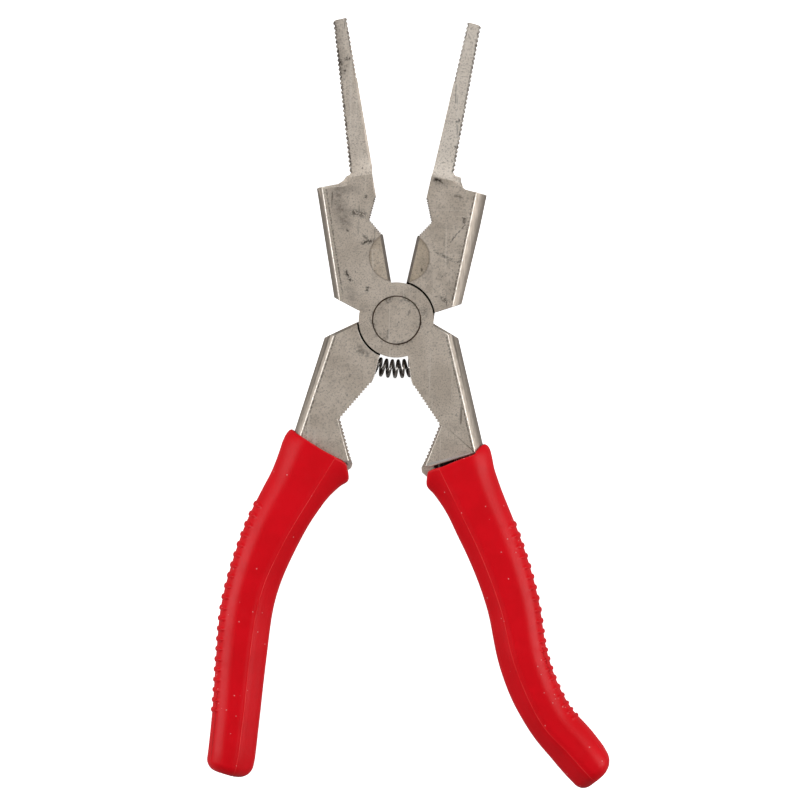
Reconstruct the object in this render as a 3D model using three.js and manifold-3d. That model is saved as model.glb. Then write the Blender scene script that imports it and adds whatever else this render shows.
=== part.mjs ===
// Welding pliers: two crossed forged levers on a flush rivet, pushed open by a coil spring,
// with a plastic sleeve on each handle.
//
// Frame: millimetres. The tool lies flat, +Y towards the nose and +Z out of its front face.
// The pivot axis is the Z axis, and the rear face of the joint is at z = 0.
// Each lever is drawn in its own closed frame: its jaw left of the centre line x = 0 and its
// handle right of it. The rear lever is the same kind of forging turned over about the Y axis.

import * as THREE from "three";
import { mergeVertices } from "three/addons/utils/BufferGeometryUtils.js";
import Module from "manifold-3d";

const wasm = await Module();
wasm.setup();

const at = (x, y) => new THREE.Vector2(x, y);

// ---------------------------------------------------------------- driving dimensions

const THICKNESS = 10; // jaws and shanks
const MIDDLE = THICKNESS / 2;
const GAP = 0.3; // air between pieces that touch or turn
const BEYOND = 3; // how far a cutting tool runs past what it cuts
const HALF_OPENING = 11.35; // each lever's turn from closed to the spring's rest

const DISC_RADIUS = 10.15; // each lever's half of the lap joint
const DISC_CLEARANCE = 0.5;

const RIVET = { headRadius: 6.4, shankRadius: 4, headDepth: 2.2, headGap: 0.15, shankGap: 0.1 };

// The jaw, measured from the line on which the closed cutting edges meet.
const JAW = {
  cuttingEdge: -0.03,
  cuttingEdgeTop: 23.1,
  notchLower: at(-0.2, 23.5),
  notchValley: at(-2.85, 27.9),
  notchUpper: at(-0.15, 33.75),
  notchTeeth: [8, 10],
  notchToothDepth: 0.5,
  innerTop: at(-0.12, 39.85),
  heel: at(-9.3, 4.05),
};

const NOSE = {
  base: 38,
  tip: 82.85,
  tipRound: 0.9,
  outerTeeth: 33,
  outerToothDepth: 0.52,
  innerTeeth: 13,
  innerTeethBottom: 66.2,
  innerToothDepth: 0.38,
  baseHalfThickness: 3,
  tipHalfThickness: 2.3,
  rampRadius: 14,
  rampStart: 40,
  footBase: 38,
  footBaseHalfThickness: 3.9,
  footSlope: 0.55,
};

// The half-moon hollow behind the cutting edge, measured as the jaw is.
const CUTTER = {
  centre: at(1.87, 16.95),
  radius: 6.62,
  wall: 0.5,
  bevelWidth: 0.8,
  bevelTop: 1,
  land: 0.3,
};

const SHANK = {
  innerTop: at(1.8, -6),
  innerBottom: at(1.8, -16.4),
  gripTop: at(2.12, -18.2),
  gripValley: at(7.7, -29.6),
  gripTip: at(1.7, -40),
  gripTeeth: [14, 12],
  gripToothDepth: 0.45,
  end: [at(3.7, -40.55), at(15.5, -38.5), at(18.85, -37.5)],
  neck: at(9.75, -2.65),
};

// Straight edge cuts, as width on the face and depth from it.
const TOP_CHAMFER = { width: 0.65, depth: 0.8 };
const TIP_CHAMFER = { width: 0.85, depth: 1.2 };
const JAW_CHAMFER = { width: 0.4, depth: 0.35 };
const NOSE_CHAMFER = { width: 0.6, depth: 0.4, thickness: 5.4, start: 43 };

// The spring's axis is bent round the pivot side; its pockets follow the bend.
const SPRING = {
  y: -13.2,
  bendRadius: 20,
  meanRadius: 2.2,
  wireRadius: 0.42,
  halfLength: 8.2,
  pitch: 1.76,
  startTurn: 0.22, // so that a coil's top lies 0.8 left of the middle
};
const POCKET = { radius: 3.05, middle: 6, halfDepth: 2.9 };

const TANG = {
  halfThickness: 3,
  mouthHalfWidth: 6,
  endHalfWidth: 3.4,
  share: 0.84, // of the handle's length
  stations: 12,
  innerShoulder: at(4, -37),
  outerShoulder: at(17, -36),
  corner: [at(1.35, -40.6), at(1.35, -41.8), at(2.4, -43)],
};

// The plastic sleeve: flat on its front and back, with a slope to either side. Each lever
// gives its widths.
const SLEEVE = {
  mouthHalfThickness: 6.6,
  endHalfThickness: 6.1,
  taper: 2.4,
  ridge: 0.62, // where the front turns into the outer slope, as a share of the half width
  outerDrop: 4,
  innerSlope: [0.55, 1], // rise over run of the inner slope at the mouth and further down
  innerSlopeLength: 9,
  ridgeRound: 2.4,
  creaseRound: 1.5,
  outerRound: 2,
  innerRound: 1,
  endRound: 3.6,
  endFlat: 0.45,
  recess: 2.3, // how far the end of the shank reaches into its mouth
  rings: 36,
};

// What differs between the two levers: the side of the pivot on which the jaws meet, how
// wide the flanks are dressed, how the nose cut runs out, and the bend of the handle.
// jawEdge and shankEdge are the lines on the face where the round flanks begin. Each row of
// sleeve is a distance from its mouth, the half widths on the outer and inner side there, and
// how far inwards of the centre line the seam runs.
const FRONT = {
  jawLine: 0.4,
  jawFlank: [at(-15.2, 38.7), at(-15.52, 8.85)],
  jawEdge: [at(-13.7, 38.7), at(-14.15, 8.8)],
  jawFlankWidth: 1.5,
  jawTop: [at(-5.85, 39.85), at(-6.1, 38.2), at(-7.8, 38.05)],
  noseInner: 0.6,
  noseTipOuter: at(-3.32, 81.9),
  noseBaseOuter: at(-5.8, 40.8),
  noseFoot: [at(-6.75, 40.6), at(-7.8, 39.5), at(-9.3, 38.9), at(-14.9, 38.8)],
  chamferedNose: true,
  shankTurn: -2,
  shankCorner: at(15.75, -7.7),
  shankEdge: [at(14.95, -38.8), at(13, -5.3)],
  shankFlankWidth: 2.65,
  handle: [
    at(9.2, -39.8),
    at(11.9, -50.2),
    at(15.8, -65),
    at(18.2, -81),
    at(18.8, -97),
    at(22.2, -112.5),
    at(27.6, -122),
    at(33.2, -131.6),
  ],
  sleeve: [
    [0, 9.75, 8, 4.9],
    [1.5, 9.9, 8.9, 4.85],
    [3.2, 9.65, 9.75, 4.8],
    [6.5, 8.9, 8.95, 4.7],
    [11, 8.4, 8.1, 4.55],
    [20, 7.8, 7.9, 4.4],
    [36, 7.3, 7.25, 3.85],
    [54, 6.6, 7.05, 3.15],
    [66, 6.4, 6.85, 2.7],
    [76, 6.75, 6.15, 2.3],
    [86, 6.85, 6.4, 1.9],
    [95, 6.4, 6.1, 1.6],
  ],
};
const REAR = {
  jawLine: -0.4,
  jawFlank: [at(-16.55, 38.4), at(-16.3, 8.2)],
  jawEdge: [at(-13.4, 38.4), at(-14, 8)],
  jawFlankWidth: 2.9,
  jawTop: [at(-5.95, 39.75), at(-8.6, 39.2), at(-10.4, 38.5)],
  noseInner: -0.66,
  noseTipOuter: at(-4.6, 82.2),
  noseBaseOuter: at(-6.4, 42),
  noseFoot: [at(-6.9, 41.6), at(-8.4, 41.5), at(-8.7, 40.4), at(-9.6, 39)],
  chamferedNose: false,
  shankTurn: 2,
  shankCorner: at(17.8, -9),
  shankEdge: [at(18.2, -36.7), at(15.4, -7)],
  shankFlankWidth: 2.4,
  handle: [
    at(12, -38.4),
    at(15.4, -49.4),
    at(19.7, -64.9),
    at(21.6, -81),
    at(20.5, -97),
    at(18.5, -113),
    at(17.1, -124),
    at(16.5, -130.2),
  ],
  sleeve: [
    [0, 9.95, 8, 4.6],
    [1.5, 10.15, 9.3, 4.6],
    [3.4, 10, 10.7, 4.55],
    [6.5, 9.35, 9.6, 4.5],
    [11, 8.6, 8.35, 4.3],
    [16, 8.35, 7.75, 4.15],
    [27, 7.9, 7.4, 3.7],
    [40, 7.35, 6.85, 2.8],
    [52, 7.25, 6.8, 2.45],
    [62, 6.8, 6.85, 2.4],
    [74, 6.4, 6.7, 2.35],
    [95, 6.45, 6.4, 1.8],
  ],
};

// ---------------------------------------------------------------- solids and outlines

function toSolid(geometry) {
  const bare = geometry.clone();
  bare.deleteAttribute("normal");
  bare.deleteAttribute("uv");
  const merged = mergeVertices(bare, 1e-4);
  const mesh = new wasm.Mesh({
    numProp: 3,
    vertProperties: merged.attributes.position.array,
    triVerts: new Uint32Array(merged.index.array),
  });
  return new wasm.Manifold(mesh);
}

function toGeometry(solid) {
  const mesh = solid.getMesh();
  const geometry = new THREE.BufferGeometry();
  geometry.setAttribute("position", new THREE.BufferAttribute(mesh.vertProperties, 3));
  geometry.setIndex(new THREE.BufferAttribute(mesh.triVerts, 1));
  const faceted = geometry.toNonIndexed();
  faceted.computeVertexNormals();
  return faceted;
}

function plate(outline, bottom, top) {
  const options = { depth: top - bottom, bevelEnabled: false };
  const geometry = new THREE.ExtrudeGeometry(new THREE.Shape(outline), options);
  return toSolid(geometry.translate(0, 0, bottom));
}

// A bar whose section, drawn as (outwards, up), runs along the edge between two points.
function bar(section, from, to, beyond) {
  const way = to.clone().sub(from);
  const options = { depth: way.length() + 2 * beyond, bevelEnabled: false };
  const geometry = new THREE.ExtrudeGeometry(new THREE.Shape(section), options);
  way.normalize();
  const start = to.clone().addScaledVector(way, beyond);
  const outwards = new THREE.Vector3(way.y, -way.x, 0);
  const up = new THREE.Vector3(0, 0, 1);
  const back = new THREE.Vector3(-way.x, -way.y, 0);
  const frame = new THREE.Matrix4().makeBasis(outwards, up, back);
  frame.setPosition(start.x, start.y, 0);
  return toSolid(geometry.applyMatrix4(frame));
}

function disc(radius, bottom, top, centre = at(0, 0)) {
  const geometry = new THREE.CylinderGeometry(radius, radius, top - bottom, 72);
  geometry.rotateX(Math.PI / 2);
  geometry.translate(centre.x, centre.y, (top + bottom) / 2);
  return toSolid(geometry);
}

function turned(point, degrees) {
  return point.clone().rotateAround(at(0, 0), THREE.MathUtils.degToRad(degrees));
}

// A sawtooth edge between two crests, with its valleys on the left of the way.
function teeth(from, to, count, depth) {
  const points = [];
  const way = to.clone().sub(from);
  const left = at(-way.y, way.x).normalize();
  for (let i = 0; i < count; i++) {
    const valley = from.clone().addScaledVector(way, (i + 0.5) / count);
    points.push(from.clone().addScaledVector(way, i / count));
    points.push(valley.addScaledVector(left, depth));
  }
  points.push(to.clone());
  return points;
}

// The tool that shapes an edge on both faces at once: everything outside the profile, which
// runs from the face (0, half thickness) outwards and down towards the middle plane.
function edgeTool(profile) {
  const reach = Math.max(...profile.map((p) => p.x)) + BEYOND;
  const front = profile.map((p) => at(p.x, MIDDLE + p.y));
  const rear = profile.map((p) => at(p.x, MIDDLE - p.y)).reverse();
  const top = THICKNESS + BEYOND;
  const bottom = -BEYOND;
  return [at(0, top), ...front, ...rear, at(0, bottom), at(reach, bottom), at(reach, top)];
}

// The round flank of a forging: part of an oval that meets the face at an edge. Room moves
// it outwards on every side.
function flankProfile(width, room = 0) {
  const steps = 5;
  const first = Math.PI / 6;
  const thinnest = 0.01;
  const points = [];
  for (let i = 0; i <= steps; i++) {
    const angle = first + ((Math.PI / 2 - first) * i) / steps;
    const across = (Math.sin(angle) - Math.sin(first)) / (1 - Math.sin(first));
    const height = Math.cos(angle) / Math.cos(first);
    points.push(at(width * across + room, Math.max(MIDDLE * height, thinnest) + room));
  }
  return points;
}

function chamferProfile({ width, depth }) {
  return [at(0, MIDDLE), at(width, MIDDLE - depth)];
}

function noseChamferProfile() {
  const half = NOSE_CHAMFER.thickness / 2;
  return [at(0, half), at(NOSE_CHAMFER.width, half - NOSE_CHAMFER.depth)];
}

// The tool that chamfers the edge of a plate from one corner of its outline to the next.
function chamfer(size, from, to, beyond) {
  const way = to.clone().sub(from).normalize();
  const inwards = at(-way.y, way.x).multiplyScalar(size.width);
  const line = [from.clone().add(inwards), to.clone().add(inwards)];
  return bar(edgeTool(chamferProfile(size)), ...line, beyond);
}

// ---------------------------------------------------------------- jaw

function jawPlate(lever) {
  const [lowerTeeth, upperTeeth] = JAW.notchTeeth;
  const inner = [
    at(JAW.cuttingEdge, 0),
    at(JAW.cuttingEdge, JAW.cuttingEdgeTop),
    ...teeth(JAW.notchLower, JAW.notchValley, lowerTeeth, JAW.notchToothDepth),
    ...teeth(JAW.notchValley, JAW.notchUpper, upperTeeth, JAW.notchToothDepth).slice(1),
    JAW.innerTop,
  ];
  const moved = inner.map((p) => at(p.x + lever.jawLine, p.y));
  const outline = [...moved, ...lever.jawTop, ...lever.jawFlank, JAW.heel, at(-5, 1.5)];
  return plate(outline, 0, THICKNESS);
}

// The long nose, toothed along its outer edge and along the tip of its inner edge.
function nose(lever) {
  const { noseInner, noseTipOuter, noseBaseOuter } = lever;
  const innerFrom = at(noseInner, NOSE.innerTeethBottom);
  const innerTo = at(noseInner, NOSE.tip - 0.3);
  const outline = [
    at(JAW.innerTop.x + lever.jawLine, NOSE.base),
    at(JAW.innerTop.x + lever.jawLine, NOSE.rampStart),
    at(noseInner, NOSE.rampStart + 2),
    ...teeth(innerFrom, innerTo, NOSE.innerTeeth, NOSE.innerToothDepth),
    at(noseInner - 0.3, NOSE.tip),
    at(noseTipOuter.x + NOSE.tipRound, NOSE.tip - 0.1),
    at(noseTipOuter.x + 0.3 * NOSE.tipRound, NOSE.tip - 0.4),
    ...teeth(noseTipOuter, noseBaseOuter, NOSE.outerTeeth, NOSE.outerToothDepth),
    at(noseBaseOuter.x, NOSE.base),
  ];
  const sides = bar(noseSection(), at(0, NOSE.base), at(-1, NOSE.base), 20);
  const blade = plate(outline, 0, THICKNESS).intersect(sides);
  if (!lever.chamferedNose) {
    return blade;
  }
  const x = noseInner - NOSE_CHAMFER.width;
  const edge = [at(x, NOSE_CHAMFER.start), at(x, NOSE.tip)];
  return blade.subtract(bar(edgeTool(noseChamferProfile()), ...edge, 1));
}

// The nose seen from its side, as (distance from its base, height): a tapering blade that
// a concave ramp joins to the thicker jaw.
function noseSection() {
  const ramp = [];
  const steps = 5;
  const { rampRadius, baseHalfThickness } = NOSE;
  const floor = rampRadius + baseHalfThickness;
  const last = Math.acos((floor - MIDDLE) / rampRadius);
  const centre = NOSE.rampStart - NOSE.base + rampRadius * Math.sin(last);
  for (let i = 0; i <= steps; i++) {
    const angle = last * (1 - i / steps);
    ramp.push(at(centre - rampRadius * Math.sin(angle), floor - rampRadius * Math.cos(angle)));
  }
  const half = [at(0, MIDDLE), ...ramp, at(NOSE.tip - NOSE.base + 1, NOSE.tipHalfThickness)];
  const front = half.map((p) => at(p.x, MIDDLE + p.y));
  const rear = half.map((p) => at(p.x, MIDDLE - p.y)).reverse();
  return [...front, ...rear];
}

// The foot of the nose, which slopes away from the top edge of the jaw on both faces.
function noseFoot(lever) {
  const outline = [
    at(-2, NOSE.base - 2),
    at(-2, lever.noseBaseOuter.y),
    lever.noseBaseOuter,
    ...lever.noseFoot,
    at(lever.noseFoot[3].x + 0.4, NOSE.base - 2),
  ];
  const length = 6;
  const { footBaseHalfThickness, footSlope } = NOSE;
  const thin = footBaseHalfThickness - footSlope * length;
  const section = [
    at(-2, MIDDLE + footBaseHalfThickness),
    at(0, MIDDLE + footBaseHalfThickness),
    at(length, MIDDLE + thin),
    at(length, MIDDLE - thin),
    at(0, MIDDLE - footBaseHalfThickness),
    at(-2, MIDDLE - footBaseHalfThickness),
  ];
  const slope = bar(section, at(0, NOSE.footBase), at(-1, NOSE.footBase), 20);
  return plate(outline, 0, THICKNESS).intersect(slope);
}

// The half-moon hollow beside the wire cutter: a gentle slope, then a steep bevel to the edge.
function cutterHollow() {
  const depthOfEdge = MIDDLE - CUTTER.land / 2;
  const deepest = CUTTER.centre.x - CUTTER.radius;
  const section = [
    at(deepest - 0.5, THICKNESS - CUTTER.wall),
    at(-CUTTER.bevelWidth, THICKNESS - CUTTER.bevelTop),
    at(JAW.cuttingEdge, THICKNESS - depthOfEdge),
    at(1, THICKNESS - depthOfEdge),
    at(1, THICKNESS + 1),
    at(deepest - 0.5, THICKNESS + 1),
  ];
  const slope = bar(section, at(0, 8), at(0, 26), 0);
  const front = slope.intersect(disc(CUTTER.radius, MIDDLE, THICKNESS + 1, CUTTER.centre));
  const rear = front.mirror([0, 0, 1]).translate([0, 0, THICKNESS]);
  return front.add(rear);
}

// ---------------------------------------------------------------- shank and tang

function shankPlate(lever) {
  const turn = (point) => turned(point, lever.shankTurn);
  const [upperTeeth, lowerTeeth] = SHANK.gripTeeth;
  const inner = [
    SHANK.innerTop,
    SHANK.innerBottom,
    ...teeth(SHANK.gripTop, SHANK.gripValley, upperTeeth, SHANK.gripToothDepth),
    ...teeth(SHANK.gripValley, SHANK.gripTip, lowerTeeth, SHANK.gripToothDepth).slice(1),
    ...SHANK.end,
  ];
  const outline = [...inner.map(turn), lever.shankCorner, SHANK.neck, at(5, -1)];
  return plate(outline, 0, THICKNESS);
}

function handleCurve(lever) {
  const points = lever.handle.map((p) => new THREE.Vector3(p.x, p.y, MIDDLE));
  return new THREE.CatmullRomCurve3(points, false, "catmullrom", 0.5);
}

// The centre of the handle at a share of its length, and its outward direction there.
function station(curve, share) {
  const point = curve.getPointAt(share);
  const way = curve.getTangentAt(share);
  return { centre: at(point.x, point.y), outwards: at(-way.y, way.x), way: at(way.x, way.y) };
}

// The flat tang that the sleeve covers; room widens it on every side.
function tang(lever, room) {
  const curve = handleCurve(lever);
  const outer = [];
  const inner = [];
  for (let i = 1; i <= TANG.stations; i++) {
    const share = (TANG.share * i) / TANG.stations;
    const { centre, outwards } = station(curve, share);
    const narrowing = (TANG.mouthHalfWidth - TANG.endHalfWidth) * (i / TANG.stations);
    const half = TANG.mouthHalfWidth - narrowing + room;
    outer.push(centre.clone().addScaledVector(outwards, half));
    inner.push(centre.clone().addScaledVector(outwards, -half));
  }
  const last = station(curve, TANG.share);
  const end = last.centre.clone().addScaledVector(last.way, TANG.endHalfWidth / 2 + room);
  const turn = (point) => turned(point, lever.shankTurn);
  const corner = TANG.corner.map((p) => turn(at(p.x - room, p.y - room)));
  const shoulders = [turn(TANG.outerShoulder), turn(TANG.innerShoulder)];
  const outline = [...corner, ...inner, end, ...outer.reverse(), ...shoulders];
  const half = TANG.halfThickness + room;
  return plate(outline, MIDDLE - half, MIDDLE + half);
}

// A point of the spring's neighbourhood, from its distance along the bent axis and its
// offsets from the axis.
function bent(along, towardsPivot, up) {
  const angle = along / SPRING.bendRadius;
  const reach = SPRING.bendRadius - towardsPivot;
  const y = SPRING.y + SPRING.bendRadius - reach * Math.cos(angle);
  return new THREE.Vector3(reach * Math.sin(angle), y, MIDDLE + up);
}

// A blind pocket for the spring's end, in line with the spring when it is relaxed.
function springPocket() {
  const length = 2 * POCKET.halfDepth;
  const geometry = new THREE.CylinderGeometry(POCKET.radius, POCKET.radius, length, 32);
  geometry.rotateZ(Math.PI / 2 + POCKET.middle / SPRING.bendRadius);
  const middle = bent(POCKET.middle, 0, 0);
  geometry.translate(middle.x, middle.y, middle.z);
  geometry.rotateZ(THREE.MathUtils.degToRad(-HALF_OPENING));
  return toSolid(geometry);
}

// ---------------------------------------------------------------- pivot

// A rivet with a sunk head on each face; room gives the hole that it turns in.
function rivetSolid(headRoom, shankRoom, overrun) {
  const head = RIVET.headRadius + headRoom;
  const shank = RIVET.shankRadius + shankRoom;
  const profile = [
    at(0, -overrun),
    at(head, -overrun),
    at(head, 0.4),
    at(shank, RIVET.headDepth + headRoom),
    at(shank, THICKNESS - RIVET.headDepth - headRoom),
    at(head, THICKNESS - 0.4),
    at(head, THICKNESS + overrun),
    at(0, THICKNESS + overrun),
  ];
  return toSolid(new THREE.LatheGeometry(profile, 64).rotateX(Math.PI / 2));
}

// ---------------------------------------------------------------- whole pieces

function leverSolid(lever) {
  const turn = (point) => turned(point, lever.shankTurn);
  const lap = MIDDLE + GAP / 2;
  const cuts = [
    bar(edgeTool(flankProfile(lever.jawFlankWidth)), ...lever.jawEdge, BEYOND),
    bar(edgeTool(flankProfile(lever.shankFlankWidth)), ...lever.shankEdge, BEYOND),
    chamfer(TOP_CHAMFER, lever.shankCorner, SHANK.neck, 0.2),
    chamfer(TIP_CHAMFER, turn(SHANK.gripValley), turn(SHANK.gripTip), 0),
    cutterHollow().translate([lever.jawLine, 0, 0]),
    springPocket(),
  ];
  if (lever.chamferedNose) {
    const edge = [JAW.notchUpper, JAW.innerTop].map((p) => at(p.x + lever.jawLine, p.y));
    cuts.push(chamfer(JAW_CHAMFER, ...edge, 0));
  }
  let solid = jawPlate(lever).add(shankPlate(lever));
  for (const cut of cuts) {
    solid = solid.subtract(cut);
  }
  solid = solid.add(nose(lever)).add(noseFoot(lever)).add(tang(lever, 0));
  solid = solid.subtract(disc(DISC_RADIUS + DISC_CLEARANCE, -1, lap));
  solid = solid.add(disc(DISC_RADIUS, lap, THICKNESS));
  return solid.subtract(rivetSolid(RIVET.headGap, RIVET.shankGap, 1));
}

// A closed skin over rings of points, with a flat end on the first and the last ring.
function loft(rings) {
  const sides = rings[0].length;
  const positions = rings.flat().flatMap((p) => [p.x, p.y, p.z]);
  const index = [];
  for (let r = 0; r + 1 < rings.length; r++) {
    for (let s = 0; s < sides; s++) {
      const a = r * sides + s;
      const b = r * sides + ((s + 1) % sides);
      index.push(a, b, b + sides, a, b + sides, a + sides);
    }
  }
  const last = (rings.length - 1) * sides;
  for (let s = 1; s + 1 < sides; s++) {
    index.push(0, s + 1, s, last, last + s, last + s + 1);
  }
  const geometry = new THREE.BufferGeometry();
  geometry.setAttribute("position", new THREE.Float32BufferAttribute(positions, 3));
  geometry.setIndex(index);
  return toSolid(geometry);
}

// The outer half width, inner half width and seam of the sleeve at a distance from its mouth,
// each on one smooth line through the lever's rows.
function sleeveWidths(lever, distance) {
  const rows = lever.sleeve;
  let i = 1;
  while (i < rows.length - 1 && rows[i][0] < distance) {
    i += 1;
  }
  const before = rows[Math.max(i - 2, 0)];
  const [from, to] = [rows[i - 1], rows[i]];
  const after = rows[i + 1] ?? to;
  const length = to[0] - from[0];
  const share = THREE.MathUtils.clamp((distance - from[0]) / length, 0, 1);
  return [1, 2, 3].map((column) => {
    const slopeFrom = (to[column] - before[column]) / (to[0] - before[0]);
    const slopeTo = (after[column] - from[column]) / (after[0] - from[0]);
    const risen = share * share * (3 - 2 * share);
    const bend = share * (1 - share) * ((1 - share) * slopeFrom - share * slopeTo);
    return from[column] + (to[column] - from[column]) * risen + length * bend;
  });
}

// The points of a corner cut back by a distance on both sides and rounded between.
function roundedCorner(before, corner, after, cut) {
  const start = corner.clone().add(before.clone().sub(corner).setLength(cut));
  const end = corner.clone().add(after.clone().sub(corner).setLength(cut));
  return new THREE.QuadraticBezierCurve(start, corner, end).getPoints(3);
}

// The section of the sleeve as (outwards, up) from its middle plane, once round.
function sleeveSection(lever, distance, halfThickness) {
  const [outer, inner, seam] = sleeveWidths(lever, distance);
  const [steepAtMouth, steep] = SLEEVE.innerSlope;
  const share = THREE.MathUtils.smoothstep(distance, 0, SLEEVE.innerSlopeLength);
  const drop = (inner - seam) * THREE.MathUtils.lerp(steepAtMouth, steep, share);
  const corners = [
    at(outer, 0),
    at(outer, halfThickness - SLEEVE.outerDrop),
    at(SLEEVE.ridge * outer, halfThickness),
    at(-seam, halfThickness),
    at(-inner, halfThickness - drop),
    at(-inner, 0),
  ];
  const { outerRound, ridgeRound, creaseRound, innerRound } = SLEEVE;
  const cuts = [0, outerRound, ridgeRound, creaseRound, innerRound];
  const front = [];
  for (let i = 1; i <= 4; i++) {
    front.push(...roundedCorner(corners[i - 1], corners[i], corners[i + 1], cuts[i]));
  }
  const rear = front.map((p) => at(p.x, -p.y)).reverse();
  return [...front, ...rear];
}

function sleeveRing(lever, curve, share, shrink) {
  const { centre, outwards } = station(curve, share);
  const { mouthHalfThickness, endHalfThickness } = SLEEVE;
  const thinning = (mouthHalfThickness - endHalfThickness) * (1 - share) ** SLEEVE.taper;
  const section = sleeveSection(lever, share * curve.getLength(), endHalfThickness + thinning);
  return section.map((p) => {
    const point = centre.clone().addScaledVector(outwards, p.x * shrink);
    return new THREE.Vector3(point.x, point.y, MIDDLE + p.y * shrink);
  });
}

// How much of its full section the sleeve keeps near its rounded lower end.
function endShrink(distanceToEnd) {
  const inside = Math.min(distanceToEnd / SLEEVE.endRound, 1);
  const round = Math.sqrt(1 - (1 - inside) ** 2);
  return SLEEVE.endFlat + (1 - SLEEVE.endFlat) * round;
}

// The recess in the sleeve's mouth, shaped like the end of the shank that sits in it.
function mouthRecess(lever) {
  const { centre, outwards, way } = station(handleCurve(lever), 0);
  const corner = (across, along) => {
    return centre.clone().addScaledVector(outwards, across).addScaledVector(way, along);
  };
  const side = 2 * lever.sleeve[0][1];
  const outline = [
    corner(-side, -1),
    corner(-side, SLEEVE.recess),
    corner(side, SLEEVE.recess),
    corner(side, -1),
  ];
  const flank = edgeTool(flankProfile(lever.shankFlankWidth, GAP));
  const outside = bar(flank, ...lever.shankEdge, 2 * BEYOND);
  return plate(outline, -GAP, THICKNESS + GAP).subtract(outside);
}

function sleeveSolid(lever) {
  const curve = handleCurve(lever);
  const length = curve.getLength();
  const rings = [];
  for (let i = 0; i <= SLEEVE.rings; i++) {
    const share = (1 - Math.cos((Math.PI * i) / SLEEVE.rings)) / 2;
    rings.push(sleeveRing(lever, curve, share, endShrink(length * (1 - share))));
  }
  return loft(rings).subtract(tang(lever, GAP)).subtract(mouthRecess(lever));
}

function springSolid() {
  const turns = (2 * SPRING.halfLength) / SPRING.pitch;
  const stepsPerTurn = 12;
  const steps = Math.round(turns * stepsPerTurn);
  class Helix extends THREE.Curve {
    getPoint(t, target = new THREE.Vector3()) {
      const angle = 2 * Math.PI * (SPRING.startTurn - turns * t);
      const along = SPRING.halfLength * (2 * t - 1);
      const towardsPivot = SPRING.meanRadius * Math.cos(angle);
      return target.copy(bent(along, towardsPivot, SPRING.meanRadius * Math.sin(angle)));
    }
  }
  const section = new THREE.Shape();
  section.absarc(0, 0, SPRING.wireRadius, 0, 2 * Math.PI);
  const options = { steps, curveSegments: 4, extrudePath: new Helix() };
  return toSolid(new THREE.ExtrudeGeometry(section, options));
}

// ---------------------------------------------------------------- materials

const forgedSteel = () =>
  new THREE.MeshStandardMaterial({ color: 0xa39a90, roughness: 0.42, metalness: 0.9 });
const rivetSteel = () =>
  new THREE.MeshStandardMaterial({ color: 0x9b9289, roughness: 0.45, metalness: 0.9 });
const springSteel = () =>
  new THREE.MeshStandardMaterial({ color: 0x8c8c8c, roughness: 0.25, metalness: 1 });
const redPlastic = () =>
  new THREE.MeshStandardMaterial({ color: 0xc91420, roughness: 0.4, metalness: 0 });

// ---------------------------------------------------------------- assembly

function named(name, solid, material) {
  const mesh = new THREE.Mesh(toGeometry(solid), material);
  mesh.name = name;
  return mesh;
}

function frontAssembly() {
  const group = new THREE.Group();
  group.rotation.z = THREE.MathUtils.degToRad(HALF_OPENING);
  group.add(named("front_lever", leverSolid(FRONT), forgedSteel()));
  group.add(named("right_grip", sleeveSolid(FRONT), redPlastic()));
  return group;
}

function rearAssembly() {
  const group = new THREE.Group();
  const turnedOver = new THREE.Group();
  group.rotation.z = THREE.MathUtils.degToRad(-HALF_OPENING);
  turnedOver.rotation.y = Math.PI;
  turnedOver.position.z = THICKNESS;
  turnedOver.add(named("rear_lever", leverSolid(REAR), forgedSteel()));
  turnedOver.add(named("left_grip", sleeveSolid(REAR), redPlastic()));
  group.add(turnedOver);
  return group;
}

const pliers = new THREE.Group();
pliers.add(frontAssembly());
pliers.add(rearAssembly());
pliers.add(named("pivot_rivet", rivetSolid(0, 0, 0), rivetSteel()));
pliers.add(named("return_spring", springSolid(), springSteel()));

export default pliers;
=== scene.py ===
"""Looks of the welding pliers: ground steel levers, a coil spring and red plastic sleeves.

Lengths in constants and arguments are millimetres in the row frame, unless a comment says
otherwise. Mesh points and texture coordinates are metres.
"""

import math

import bmesh
import bpy
import numpy as np
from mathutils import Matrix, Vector


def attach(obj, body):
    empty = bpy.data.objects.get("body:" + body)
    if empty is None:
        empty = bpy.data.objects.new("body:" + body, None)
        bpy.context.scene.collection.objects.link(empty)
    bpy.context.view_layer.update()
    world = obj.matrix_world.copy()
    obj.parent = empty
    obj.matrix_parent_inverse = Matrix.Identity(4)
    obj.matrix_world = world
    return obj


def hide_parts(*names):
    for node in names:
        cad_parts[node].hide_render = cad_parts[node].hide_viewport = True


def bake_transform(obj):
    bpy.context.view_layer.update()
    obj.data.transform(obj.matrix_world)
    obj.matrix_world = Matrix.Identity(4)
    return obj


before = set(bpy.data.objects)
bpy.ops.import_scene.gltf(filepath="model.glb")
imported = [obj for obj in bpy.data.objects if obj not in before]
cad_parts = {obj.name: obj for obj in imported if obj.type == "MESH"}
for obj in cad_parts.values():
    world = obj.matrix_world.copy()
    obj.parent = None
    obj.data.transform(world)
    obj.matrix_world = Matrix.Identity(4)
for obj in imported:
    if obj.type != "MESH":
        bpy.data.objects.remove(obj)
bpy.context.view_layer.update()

MM = 0.001
MIDDLE = 5.0  # height of the tool's middle plane
HALF_OPENING = 11.35  # degrees each lever is turned from closed
RIVET_RADIUS = 6.4
LEVER_GAP = (10.1, 10.7)  # radii between which the two levers leave a curved gap
HOLLOW_RADIUS = 6.62
NOSE_BASE = 40.0  # where the nose's face begins, measured from the pivot along the closed jaw


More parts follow.
